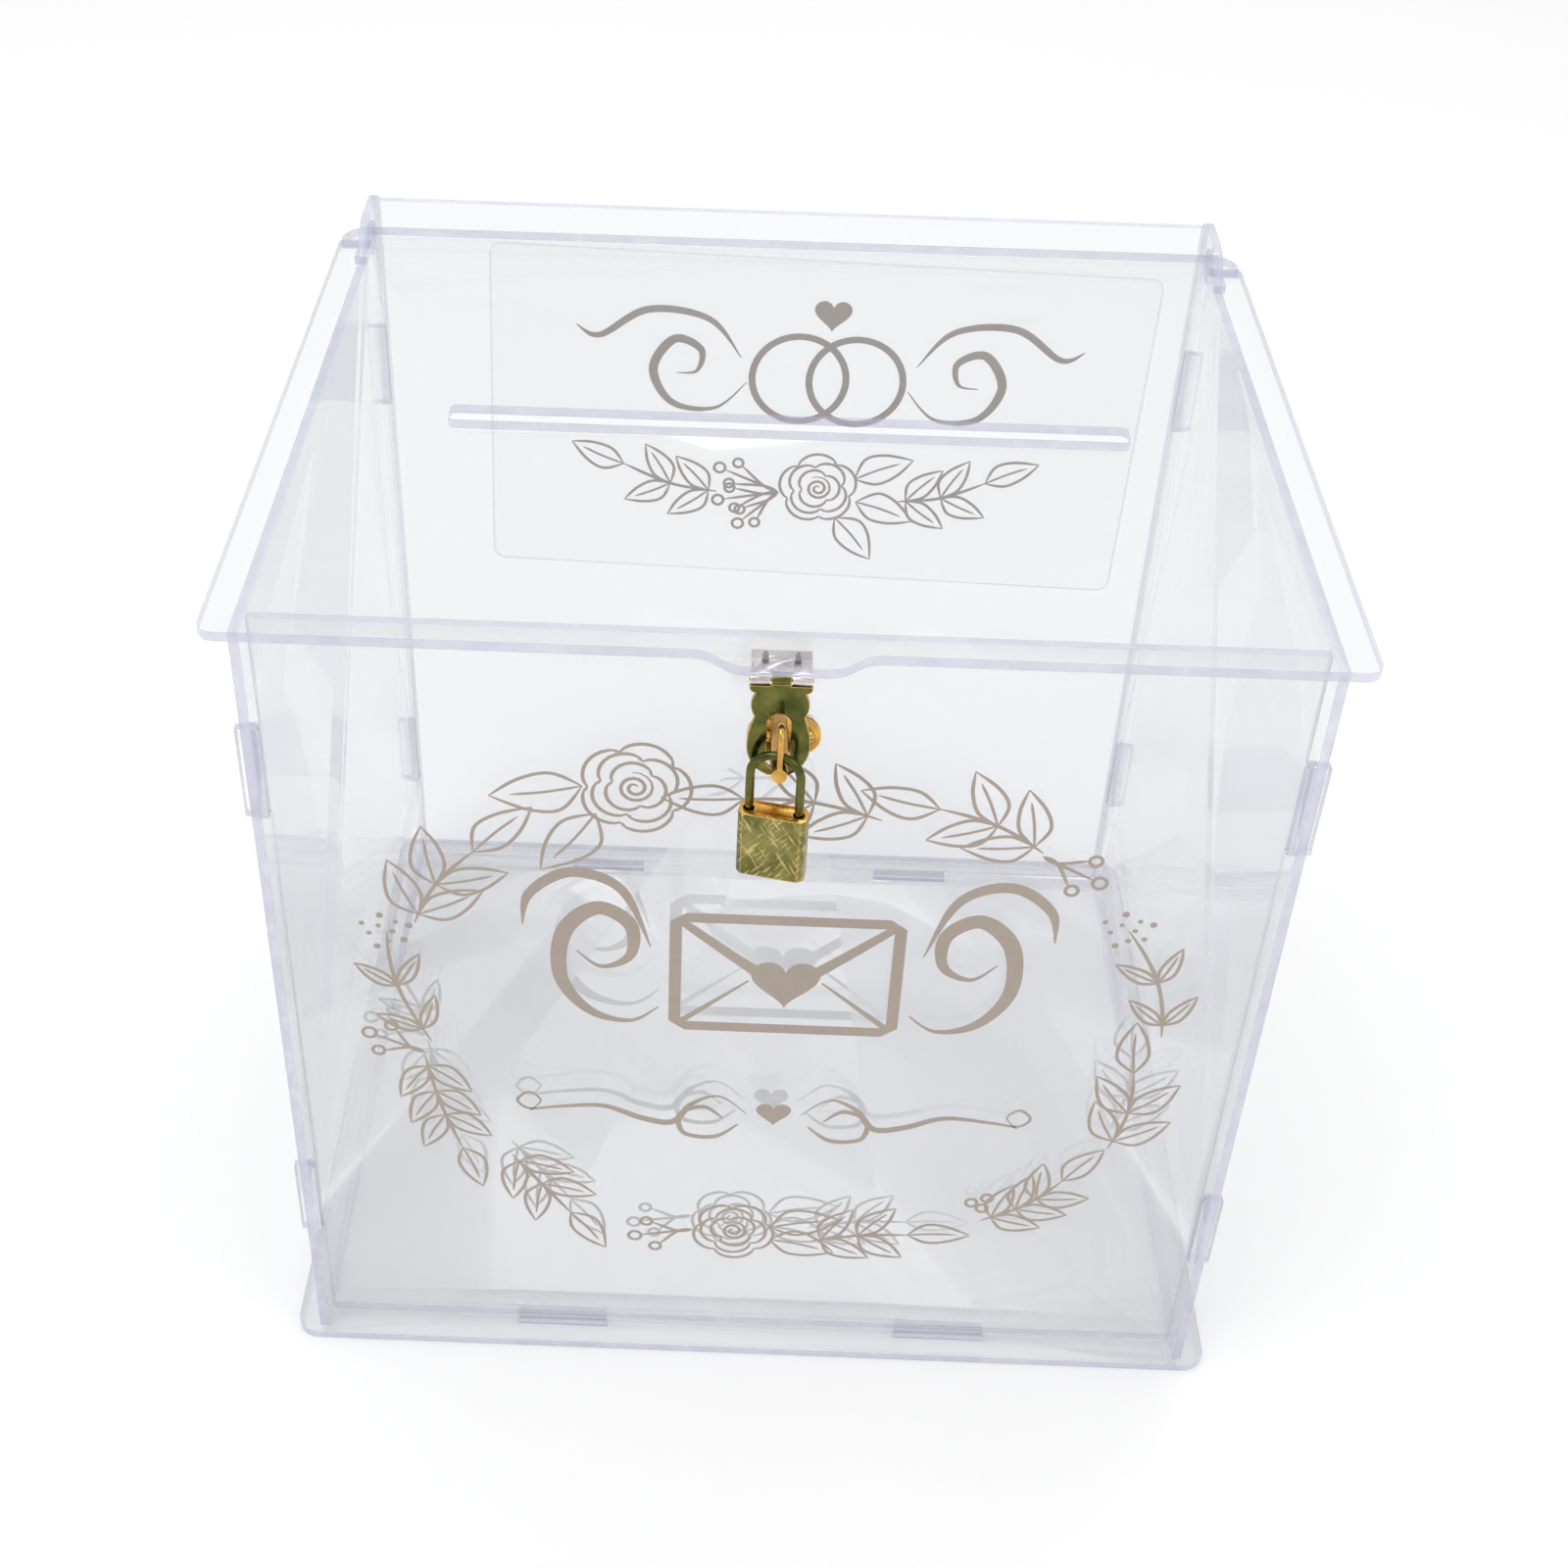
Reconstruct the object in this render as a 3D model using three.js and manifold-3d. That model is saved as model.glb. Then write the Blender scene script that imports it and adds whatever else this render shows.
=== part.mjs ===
// Wedding card box: a tab-and-slot box of clear acrylic sheet with a pivoting lid that has a card slot,
// a small brass hasp and a brass mini padlock. Millimetres, +Z up, the front faces -Y, and the origin is
// the middle of the base plate's underside.
import * as THREE from "three";
import { mergeVertices } from "three/addons/utils/BufferGeometryUtils.js";
import Module from "manifold-3d";

const wasm = await Module();
wasm.setup();

// ---- driving dimensions -------------------------------------------------------------------------
const SHEET = 2.5; // acrylic thickness
const GAP = 0.3; // clearance between neighbouring plates

const BASE = { width: 254, depth: 216, corner: 6 };
const BOX = { width: 241, depth: 212, sideTop: 238, backTop: 247.1, panelInset: 5.8 };
const TAB = { proud: 3, heights: [[37, 62], [182.2, 207.5]], footX: 53, footWidth: 24.4 };
const LID = { width: 253.2, front: -109.8, corner: 4, bulgeWidth: 41.4, bulgeFlat: 17, bulgeDepth: 5.7 };
const CARD_SLOT = { width: 168, depth: 7.6, y: -11.2, corner: 1.6 };
const PIVOT = { y: 89.75, z: 239.55, hole: 4.75, pegWidth: 8.9, pegReach: 126.2, pegCorner: 8, earFront: 75.5 };
const DECAL = { width: 195, height: 107.3, corner: 4, x: 10, z: 180.5, tilt: -1.4, thickness: 0.4 };

const HASP = { x: -1.2, width: 13.5, sheet: 0.8, axisY: -114.4, axisZ: 236.9, barrel: 1.1, pin: 0.45, bore: 0.58 };
const LEAF = { rear: -105, thickness: 0.6 };
const LEAF_SCREW = { spread: 3.5, y: -108.5, shank: 0.6, head: 1.3, tip: 240.2 };
const STRAP = { foot: 211.7, slotFoot: 213.3, slotHead: 228.3, slotWidth: 5.2 };
const STAPLE = { x: 0.3, z: 212.4, width: 16.6, height: 10.5, sheet: 1.1, screwSpread: 4.9 };
const POST = { x: -0.8, z: 216.5, radius: 1.75, front: -121.7 };
const LOOP = { y: -118.5, wire: 0.7, halfSpan: 2.4, top: 227.8 };
const SCREW = { shank: 0.95, head: 2.1, headHeight: 1.2, nutFlats: 4, nutHeight: 1.6 };
const LOCK = { x: -1.5, y: -118.5, turn: -12, width: 15.4, depth: 5.5, top: 204.5, height: 17.2, edge: 1.2 };
const SHACKLE = { wire: 1, span: 11.2, top: 220.7, shortLeg: 5, longLeg: 13, notch: 0.8 };
const PLUG = { radius: 1.9, bore: 2.1, height: 12.6 };

// ---- dimensions worked out from them --------------------------------------------------------------
const sideOuter = BOX.width / 2;
const sideInner = sideOuter - SHEET;
const boxFront = -BOX.depth / 2;
const frontPanelY = boxFront + BOX.panelInset;
const backPanelY = -frontPanelY - SHEET;
const plateFoot = SHEET + GAP;
const lidBottom = BOX.sideTop + GAP;
const lidTop = lidBottom + SHEET;
const panelHalf = sideInner - GAP;
const lidRear = PIVOT.y + PIVOT.pegWidth / 2;
const screwX = (side) => STAPLE.x + side * STAPLE.screwSpread;
const leafScrewX = (side) => HASP.x + side * LEAF_SCREW.spread;

// ---- materials ------------------------------------------------------------------------------------
const clearAcrylic = new THREE.MeshStandardMaterial({
  color: 0xe9ebf2, roughness: 0.05, metalness: 0, transparent: true, opacity: 0.35,
});
const clearFilm = new THREE.MeshStandardMaterial({
  color: 0xf4f4f4, roughness: 0.2, metalness: 0, transparent: true, opacity: 0.3,
});
const antiqueBrass = new THREE.MeshStandardMaterial({ color: 0x8c7f45, roughness: 0.32, metalness: 1 });
const brushedBrass = new THREE.MeshStandardMaterial({ color: 0xa89a5a, roughness: 0.4, metalness: 1 });
const steel = new THREE.MeshStandardMaterial({ color: 0xb8b8b4, roughness: 0.3, metalness: 1 });

// ---- solids ---------------------------------------------------------------------------------------
function solidOf(geometry) {
  const bare = geometry.index ? geometry.toNonIndexed() : geometry.clone();
  bare.deleteAttribute("normal");
  bare.deleteAttribute("uv");
  const merged = mergeVertices(bare, 1e-4);
  return new wasm.Manifold(new wasm.Mesh({
    numProp: 3,
    vertProperties: merged.attributes.position.array,
    triVerts: new Uint32Array(merged.index.array),
  }));
}

function geometryOf(solid) {
  const mesh = solid.getMesh();
  const geometry = new THREE.BufferGeometry();
  geometry.setAttribute("position", new THREE.BufferAttribute(mesh.vertProperties, 3));
  geometry.setIndex(new THREE.BufferAttribute(mesh.triVerts, 1));
  return geometry;
}

const join = (...geometries) => geometryOf(geometries.map(solidOf).reduce((a, b) => a.add(b)));
const cut = (whole, ...tools) =>
  geometryOf(tools.map(solidOf).reduce((a, b) => a.subtract(b), solidOf(whole)));

// ---- outlines -------------------------------------------------------------------------------------
function outlineOf(points) {
  return new THREE.Shape(points.map(([a, b]) => new THREE.Vector2(a, b)));
}

function rectangle(a0, b0, a1, b1) {
  return outlineOf([[a0, b0], [a1, b0], [a1, b1], [a0, b1]]);
}

function roundedRectangle(a, b, width, height, radius) {
  const [a0, a1, b0, b1] = [a - width / 2, a + width / 2, b - height / 2, b + height / 2];
  const shape = new THREE.Shape();
  shape.moveTo(a0 + radius, b0);
  shape.lineTo(a1 - radius, b0);
  shape.absarc(a1 - radius, b0 + radius, radius, -Math.PI / 2, 0);
  shape.lineTo(a1, b1 - radius);
  shape.absarc(a1 - radius, b1 - radius, radius, 0, Math.PI / 2);
  shape.lineTo(a0 + radius, b1);
  shape.absarc(a0 + radius, b1 - radius, radius, Math.PI / 2, Math.PI);
  shape.lineTo(a0, b0 + radius);
  shape.absarc(a0 + radius, b0 + radius, radius, Math.PI, 1.5 * Math.PI);
  return shape;
}

function circle(a, b, radius) {
  return new THREE.Shape().absarc(a, b, radius, 0, 2 * Math.PI);
}

// Points nearer than a thousandth of a millimetre to the next one are the same corner.
function distinct(points) {
  return points.filter((point, i) => point.distanceTo(points[(i + 1) % points.length]) > 1e-3);
}

// The outline's holes are cut out of the solid plate.
function extruded(shape, thickness, curveSegments) {
  const drawn = shape.extractPoints(curveSegments);
  const slab = (points, depth) =>
    new THREE.ExtrudeGeometry(new THREE.Shape(distinct(points)), { depth, bevelEnabled: false });
  const plate = slab(drawn.shape, thickness);
  const holes = drawn.holes.map((hole) => slab(hole, thickness + 2).translate(0, 0, -1));
  return holes.length > 0 ? cut(plate, ...holes) : plate;
}

// A plate whose outline is drawn in X and Y, with its underside at z.
function flatPlate(shape, z, thickness, curveSegments = 6) {
  return extruded(shape, thickness, curveSegments).translate(0, 0, z);
}

// A plate whose outline is drawn in X and Z, with its front at y.
function frontPlate(shape, y, thickness, curveSegments = 6) {
  return extruded(shape, thickness, curveSegments).rotateX(Math.PI / 2).translate(0, y + thickness, 0);
}

// A plate whose outline is drawn in Y and Z, with its left face at x.
const sideways = new THREE.Matrix4().makeBasis(
  new THREE.Vector3(0, 1, 0), new THREE.Vector3(0, 0, 1), new THREE.Vector3(1, 0, 0),
);
function sidePlate(shape, x, thickness, curveSegments = 6) {
  return extruded(shape, thickness, curveSegments).applyMatrix4(sideways).translate(x, 0, 0);
}

// Round bars along each axis, given by the low end, the length and the radius.
function barX(x, y, z, length, radius, sides = 16) {
  return sidePlate(circle(y, z, radius), x, length, sides);
}
function barY(x, y, z, length, radius, sides = 16) {
  return frontPlate(circle(x, z, radius), y, length, sides);
}
function barZ(x, y, z, length, radius, sides = 16) {
  return flatPlate(circle(x, y, radius), z, length, sides);
}
function block(x0, y0, z0, x1, y1, z1) {
  return flatPlate(rectangle(x0, y0, x1, y1), z0, z1 - z0);
}

// ---- acrylic shell --------------------------------------------------------------------------------
// The base plate has two slots under the front panel and two under the back panel.
function basePlate() {
  const shape = roundedRectangle(0, 0, BASE.width, BASE.depth, BASE.corner);
  for (const y of [frontPanelY, backPanelY]) {
    for (const x of [-TAB.footX, TAB.footX]) {
      const half = TAB.footWidth / 2 + GAP;
      shape.holes.push(rectangle(x - half, y - GAP, x + half, y + SHEET + GAP));
    }
  }
  return flatPlate(shape, 0, SHEET);
}

// Front and back panels have side tabs that pass through the side panels, and foot tabs in the base.
function walledPanel(y, top, holes) {
  const shape = rectangle(-panelHalf, plateFoot, panelHalf, top);
  shape.holes.push(...holes);
  const tab = (x0, z0, x1, z1) => block(x0, y, z0, x1, y + SHEET, z1);
  const [root, tip] = [panelHalf - 1, sideOuter + TAB.proud];
  const sideTabs = TAB.heights.flatMap(([low, high]) => [tab(-tip, low, -root, high), tab(root, low, tip, high)]);
  const half = TAB.footWidth / 2;
  const footTabs = [-TAB.footX, TAB.footX].map((x) => tab(x - half, GAP, x + half, plateFoot + 1));
  return join(frontPlate(shape, y, SHEET), ...sideTabs, ...footTabs);
}

function frontPanel() {
  const holes = [-1, 1].map((side) => circle(screwX(side), STAPLE.z, SCREW.shank + 0.25));
  return walledPanel(frontPanelY, BOX.sideTop, holes);
}

function backPanel() {
  return walledPanel(backPanelY, BOX.backTop, []);
}

// A side panel ends at the rear in an ear that rises to the back panel's top and holds the lid's peg.
function sidePanel(x) {
  const rear = -boxFront;
  const earRear = rear - BOX.panelInset;
  const shape = new THREE.Shape();
  shape.moveTo(boxFront, plateFoot);
  shape.lineTo(rear, plateFoot);
  shape.lineTo(rear, BOX.backTop - BOX.panelInset);
  shape.absarc(earRear, BOX.backTop - BOX.panelInset, BOX.panelInset, 0, Math.PI / 2);
  shape.lineTo(PIVOT.y + 2, BOX.backTop);
  shape.bezierCurveTo(PIVOT.y - 6, BOX.backTop, PIVOT.y - 9, BOX.backTop - 2, PIVOT.earFront, BOX.sideTop);
  shape.lineTo(boxFront, BOX.sideTop);
  for (const y of [frontPanelY, backPanelY]) {
    for (const [low, high] of TAB.heights) {
      shape.holes.push(rectangle(y - GAP, low - GAP, y + SHEET + GAP, high + GAP));
    }
  }
  shape.holes.push(circle(PIVOT.y, PIVOT.z, PIVOT.hole));
  return sidePlate(shape, x, SHEET, 16);
}

// The lid: a front bulge for the hasp, the card slot, and at each rear corner a notch round the ear and
// a peg that turns in the ear's hole.
function lidPanel() {
  const half = LID.width / 2;
  const tip = LID.front - LID.bulgeDepth;
  const [bulge, flat] = [LID.bulgeWidth / 2, LID.bulgeFlat / 2];
  const ease = (bulge + flat) / 2;
  const [earIn, earOut] = [sideInner - 0.4, sideOuter + 0.4];
  const pegFront = PIVOT.y - PIVOT.pegWidth / 2;
  const slitFront = pegFront - 0.9;
  const notchFront = PIVOT.earFront - 1;
  const front = new THREE.Shape();
  front.moveTo(-flat, tip);
  front.lineTo(flat, tip);
  front.bezierCurveTo(ease, tip, ease, LID.front, bulge, LID.front);
  front.lineTo(half - LID.corner, LID.front);
  front.absarc(half - LID.corner, LID.front + LID.corner, LID.corner, -Math.PI / 2, 0);
  front.lineTo(half, slitFront);
  front.lineTo(-half, slitFront);
  front.lineTo(-half, LID.front + LID.corner);
  front.absarc(-half + LID.corner, LID.front + LID.corner, LID.corner, Math.PI, 1.5 * Math.PI);
  front.lineTo(-bulge, LID.front);
  front.bezierCurveTo(-ease, LID.front, -ease, tip, -flat, tip);
  front.holes.push(roundedRectangle(0, CARD_SLOT.y, CARD_SLOT.width, CARD_SLOT.depth, CARD_SLOT.corner));

  const [reach, round] = [PIVOT.pegReach, PIVOT.pegCorner];
  const pegs = new THREE.Shape();
  pegs.moveTo(-reach, pegFront);
  pegs.lineTo(reach, pegFront);
  pegs.absarc(reach - round, lidRear - round, round, 0, Math.PI / 2);
  pegs.absarc(-reach + round, lidRear - round, round, Math.PI / 2, Math.PI);

  const notch = (from, to) => block(from, notchFront, lidBottom - 1, to, slitFront + 1, lidTop + 1);
  const pilots = [-1, 1].map((side) => leafScrewPoint(leafScrewX(side), lidBottom - 1, 0.2));
  return join(
    cut(flatPlate(front, lidBottom, SHEET, 8), notch(earIn, earOut), notch(-earOut, -earIn), ...pilots),
    block(-earIn, slitFront - 2, lidBottom, earIn, pegFront + 1, lidTop),
    flatPlate(pegs, lidBottom, SHEET, 6),
  );
}

// A clear printed film stuck inside the back panel by hand, a little off centre and off level.
function backDecal() {
  return extruded(roundedRectangle(0, 0, DECAL.width, DECAL.height, DECAL.corner), DECAL.thickness, 6)
    .rotateZ(THREE.MathUtils.degToRad(DECAL.tilt))
    .rotateX(Math.PI / 2)
    .translate(DECAL.x, backPanelY - GAP, DECAL.z);
}

// ---- hasp -----------------------------------------------------------------------------------------
const knuckle = HASP.width / 3;
const haspLeft = HASP.x - HASP.width / 2;
const knuckleGap = 0.15;
const leafTop = HASP.axisZ + HASP.barrel;

// A rolled knuckle round the hasp's axis: the first, second or third of the three.
function knuckleRing(index) {
  const ring = circle(HASP.axisY, HASP.axisZ, HASP.barrel);
  ring.holes.push(circle(HASP.axisY, HASP.axisZ, HASP.bore));
  return sidePlate(ring, haspLeft + index * knuckle + knuckleGap, knuckle - 2 * knuckleGap, 10);
}

// A screw's shank from z up to its point in the lid, grown all round by clearance.
function leafScrewPoint(x, z, clearance) {
  const radius = LEAF_SCREW.shank + clearance;
  const [shoulder, tip] = [LEAF_SCREW.tip - 1 + clearance, LEAF_SCREW.tip + clearance];
  const profile = [[0, z], [radius, z], [radius, shoulder], [0, tip]].map(([r, h]) => new THREE.Vector2(r, h));
  return new THREE.LatheGeometry(profile, 14).rotateX(Math.PI / 2).translate(x, LEAF_SCREW.y, 0);
}

// The leaf is screwed under the lid's bulge and carries the two outer knuckles.
function haspLeaf() {
  const [left, right] = [haspLeft + knuckleGap, haspLeft + HASP.width - knuckleGap];
  const [front, rear] = [HASP.axisY + 0.65, LEAF.rear];
  const clear = HASP.axisY + HASP.barrel + 0.3;
  const [inner, outer] = [haspLeft + knuckle - knuckleGap, haspLeft + 2 * knuckle + knuckleGap];
  const shape = outlineOf([
    [left, front], [inner, front], [inner, clear], [outer, clear],
    [outer, front], [right, front], [right, rear], [left, rear],
  ]);
  for (const side of [-1, 1]) shape.holes.push(circle(leafScrewX(side), LEAF_SCREW.y, LEAF_SCREW.shank + 0.2));
  const plate = flatPlate(shape, leafTop - LEAF.thickness, LEAF.thickness);
  return join(plate, knuckleRing(0), knuckleRing(2));
}

// A low dome of the given radius and height, standing on z = 0.
function dome(radius, height) {
  const rings = 5;
  const profile = [new THREE.Vector2(0, 0)];
  for (let i = 0; i < rings; i++) {
    const angle = (i / rings) * (Math.PI / 2);
    profile.push(new THREE.Vector2(radius * Math.cos(angle), height * Math.sin(angle)));
  }
  profile.push(new THREE.Vector2(0, height));
  return new THREE.LatheGeometry(profile, 20).rotateX(Math.PI / 2);
}

function leafScrew(side) {
  const x = leafScrewX(side);
  const seat = leafTop - LEAF.thickness - 0.1;
  const head = dome(LEAF_SCREW.head, 0.8).rotateX(Math.PI).translate(x, LEAF_SCREW.y, seat);
  const driver = block(x - 1, LEAF_SCREW.y - 0.18, seat - 2, x + 1, LEAF_SCREW.y + 0.18, seat - 0.45);
  return cut(join(head, leafScrewPoint(x, seat - 0.3, 0)), driver);
}

function haspPin() {
  return barX(haspLeft - 0.1, HASP.axisY, HASP.axisZ, HASP.width + 0.2, HASP.pin, 6);
}

// The strap is scalloped: from the foot up, two round lobes and a flared head meet at sharp necks.
function haspStrap() {
  const scallops = [
    { from: [2.2, STRAP.foot], through: [9.6, 215.6], to: [5.4, 227.4] },
    { from: [5.4, 227.4], through: [7.2, 230.6], to: [5.35, 233.6] },
    { from: [5.35, 233.6], through: [6.9, 233.9], to: [6.75, 235.5] },
  ];
  const at = (side, [a, z]) => new THREE.Vector2(HASP.x + side * a, z);
  const edge = (side) => scallops.flatMap(({ from, through, to }) =>
    new THREE.QuadraticBezierCurve(at(side, from), at(side, through), at(side, to)).getPoints(10));
  const shape = new THREE.Shape([...edge(1), ...edge(-1).reverse()]);
  const slotHeight = STRAP.slotHead - STRAP.slotFoot;
  shape.holes.push(roundedRectangle(
    HASP.x, STRAP.slotFoot + slotHeight / 2, STRAP.slotWidth, slotHeight, STRAP.slotWidth / 2 - 0.05,
  ));
  const back = HASP.axisY + 0.2;
  const plate = frontPlate(shape, back - HASP.sheet, HASP.sheet, 6);
  const neckHalf = knuckle / 2 - knuckleGap;
  const [neckFoot, neckTop] = [235, HASP.axisZ - 0.62];
  const neck = block(HASP.x - neckHalf, back - HASP.sheet, neckFoot, HASP.x + neckHalf, back, neckTop);
  return join(plate, neck, knuckleRing(1));
}

// A round wire bent along legs and an arch in the plane of the two axes that `at` maps to space.
function archedWire(at, half, foot, otherFoot, bend, wire, steps, sides) {
  const path = new THREE.CurvePath();
  path.add(new THREE.LineCurve3(at(-half, foot), at(-half, bend)));
  const parts = 4;
  for (let i = 0; i < parts; i++) {
    const [start, end] = [i, i + 1].map((k) => Math.PI * (1 - k / parts));
    const middle = (start + end) / 2;
    const reach = half / Math.cos((start - end) / 2);
    const onArc = (angle, radius) => at(radius * Math.cos(angle), bend + radius * Math.sin(angle));
    path.add(new THREE.QuadraticBezierCurve3(onArc(start, half), onArc(middle, reach), onArc(end, half)));
  }
  path.add(new THREE.LineCurve3(at(half, bend), at(half, otherFoot)));
  return new THREE.ExtrudeGeometry(circle(0, 0, wire), { steps, extrudePath: path, curveSegments: sides });
}

// The staple: a round-ended plate on the front panel, a post through the strap's slot, and an upright
// loop of wire on the post for the padlock's shackle.
const staplePlateFront = frontPanelY - GAP - STAPLE.sheet;

function staple() {
  const shape = roundedRectangle(STAPLE.x, STAPLE.z, STAPLE.width, STAPLE.height, STAPLE.height / 2 - 0.05);
  for (const side of [-1, 1]) shape.holes.push(circle(screwX(side), STAPLE.z, SCREW.shank + 0.2));
  const plate = frontPlate(shape, staplePlateFront, STAPLE.sheet, 8);
  const post = barY(POST.x, POST.front, POST.z, staplePlateFront + 0.4 - POST.front, POST.radius, 10);
  const at = (a, z) => new THREE.Vector3(POST.x, LOOP.y + a, z);
  const [foot, bend] = [POST.z + POST.radius - 0.9, LOOP.top - LOOP.wire - LOOP.halfSpan];
  const loop = archedWire(at, LOOP.halfSpan, foot, foot, bend, LOOP.wire, 30, 5);
  return join(plate, post, loop);
}

function stapleScrew(side) {
  const x = screwX(side);
  const seat = staplePlateFront - 0.1;
  const head = dome(SCREW.head, SCREW.headHeight).rotateX(Math.PI / 2).translate(x, seat, STAPLE.z);
  const tail = frontPanelY + SHEET + SCREW.nutHeight + 0.7;
  const shank = barY(x, seat - 0.3, STAPLE.z, tail - seat + 0.3, SCREW.shank, 7);
  const driver = block(x - 1.6, seat - 3, STAPLE.z - 0.25, x + 1.6, seat - 0.7, STAPLE.z + 0.25);
  return cut(join(head, shank), driver);
}

function stapleNut(side) {
  const corner = SCREW.nutFlats / 2 / Math.cos(Math.PI / 6);
  const hexagon = outlineOf([0, 1, 2, 3, 4, 5].map((i) => {
    const angle = (i * Math.PI) / 3;
    return [screwX(side) + corner * Math.cos(angle), STAPLE.z + corner * Math.sin(angle)];
  }));
  hexagon.holes.push(circle(screwX(side), STAPLE.z, SCREW.shank + 0.15));
  return frontPlate(hexagon, frontPanelY + SHEET + GAP, SCREW.nutHeight, 7);
}

// ---- padlock --------------------------------------------------------------------------------------
// The padlock is built upright and square in a frame of its own: X across, its top face at z = 0.
const legX = SHACKLE.span / 2;
const latchZ = -2.6;
const boltHalf = 0.6;

// The short leg is the left one, with a notch in its inner side for the latch bolt.
function shackle() {
  const bend = SHACKLE.top - LOCK.top - SHACKLE.wire - legX;
  const at = (x, z) => new THREE.Vector3(x, 0, z);
  const bar = archedWire(at, legX, -SHACKLE.shortLeg, -SHACKLE.longLeg, bend, SHACKLE.wire, 60, 7);
  const notchFloor = -legX + SHACKLE.wire - SHACKLE.notch;
  return cut(bar, block(notchFloor, -2, latchZ - 0.9, -legX + 2, 2, latchZ + 0.9));
}

function lockBody() {
  const [half, deep, e] = [LOCK.width / 2, LOCK.depth / 2, LOCK.edge];
  const section = outlineOf([
    [-half + e, -deep], [half - e, -deep], [half, -deep + e], [half, deep - e],
    [half - e, deep], [-half + e, deep], [-half, deep - e], [-half, -deep + e],
  ]);
  const legHole = SHACKLE.wire + 0.3;
  const channel = boltHalf + 0.2;
  return cut(
    flatPlate(section, -LOCK.height, LOCK.height),
    barZ(-legX, 0, -SHACKLE.shortLeg - 0.6, 20, legHole, 8),
    barZ(legX, 0, -SHACKLE.longLeg - 1, 20, legHole, 8),
    barZ(0, 0, -LOCK.height - 1, PLUG.height + 1.5, PLUG.bore, 10),
    block(-legX + 0.6, -channel, latchZ - channel, 1.9, channel, latchZ + channel),
    block(-1.4, -channel, latchZ - 2, 1.4, channel, latchZ),
  );
}

// The plug turns in the body's lower bore and has a keyway in its face.
function lockCylinder() {
  const foot = -LOCK.height + 0.3;
  const plug = barZ(0, 0, foot, PLUG.height - 0.5, PLUG.radius, 10);
  const keyway = block(-0.4, -1.3, foot - 1, 0.4, 1.3, foot + 8);
  return cut(plug, keyway);
}

// The latch bolt slides across above the plug. It is drawn back here, clear of the shackle's notch.
function latchBolt() {
  const tip = -legX + SHACKLE.wire + 0.25;
  return block(tip, -boltHalf, latchZ - boltHalf, 0.6, boltHalf, latchZ + boltHalf);
}

// ---- assembly -------------------------------------------------------------------------------------
const cardBox = new THREE.Group();
cardBox.name = "wedding_card_box";

function add(parent, name, geometry, material) {
  const mesh = new THREE.Mesh(geometry, material);
  mesh.name = name;
  parent.add(mesh);
}

add(cardBox, "base_plate", basePlate(), clearAcrylic);
add(cardBox, "front_panel", frontPanel(), clearAcrylic);
add(cardBox, "back_panel", backPanel(), clearAcrylic);
add(cardBox, "left_side_panel", sidePanel(-sideOuter), clearAcrylic);
add(cardBox, "right_side_panel", sidePanel(sideInner), clearAcrylic);
add(cardBox, "lid_panel", lidPanel(), clearAcrylic);
add(cardBox, "back_decal_film", backDecal(), clearFilm);

add(cardBox, "hasp_lid_leaf", haspLeaf(), antiqueBrass);
add(cardBox, "hasp_hinge_pin", haspPin(), antiqueBrass);
add(cardBox, "hasp_strap", haspStrap(), antiqueBrass);
add(cardBox, "hasp_staple", staple(), antiqueBrass);
for (const [name, side] of [["left", -1], ["right", 1]]) {
  add(cardBox, `hasp_screw_${name}`, leafScrew(side), antiqueBrass);
  add(cardBox, `staple_screw_${name}`, stapleScrew(side), antiqueBrass);
  add(cardBox, `staple_nut_${name}`, stapleNut(side), steel);
}

const padlock = new THREE.Group();
padlock.position.set(LOCK.x, LOCK.y, LOCK.top);
padlock.rotation.z = THREE.MathUtils.degToRad(LOCK.turn);
add(padlock, "padlock_shackle", shackle(), antiqueBrass);
add(padlock, "padlock_body", lockBody(), brushedBrass);
add(padlock, "lock_cylinder", lockCylinder(), antiqueBrass);
add(padlock, "latch_bolt", latchBolt(), steel);
cardBox.add(padlock);

export default cardBox;
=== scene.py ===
"""Looks for the wedding card box: polished acrylic with tinted cut edges, a floral print on the front
panel, a printed film inside the back panel, and a brass hasp and padlock. Metres, in the CAD's frame."""
import math
import random

import bmesh
import bpy
from mathutils import Matrix, Vector


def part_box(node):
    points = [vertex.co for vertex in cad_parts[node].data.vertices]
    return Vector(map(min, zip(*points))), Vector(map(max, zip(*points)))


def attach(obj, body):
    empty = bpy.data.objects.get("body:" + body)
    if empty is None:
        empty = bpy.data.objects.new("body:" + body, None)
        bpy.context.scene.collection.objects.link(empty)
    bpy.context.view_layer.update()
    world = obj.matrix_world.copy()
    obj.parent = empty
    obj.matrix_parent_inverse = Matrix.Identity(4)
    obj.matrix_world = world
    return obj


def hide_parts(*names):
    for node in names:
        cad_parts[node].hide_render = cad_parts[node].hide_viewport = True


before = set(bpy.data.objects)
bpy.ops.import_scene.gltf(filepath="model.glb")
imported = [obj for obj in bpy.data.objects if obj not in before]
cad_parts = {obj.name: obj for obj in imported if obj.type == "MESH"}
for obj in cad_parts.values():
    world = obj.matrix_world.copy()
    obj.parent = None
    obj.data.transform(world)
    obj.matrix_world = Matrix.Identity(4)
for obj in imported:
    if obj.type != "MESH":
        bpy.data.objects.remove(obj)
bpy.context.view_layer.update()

MM = 0.001
INK_LIFT = 0.06 * MM
INK_THICKNESS = 0.03 * MM
INK_LAYERS = 40
INK_STEP = 0.002 * MM
FRONT_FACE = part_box("front_panel")[0].y
FILM_LOW, FILM_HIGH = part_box("back_decal_film")
FILM_TILT = math.radians(-1.4)
FILM_HALF = (97.5, 53.6)
FILM_CORNER = 4.0
# How far inside the film's outline the painted rim highlight lies.
FILM_RIM_HIGHLIGHT_INSET = 0.4
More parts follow.
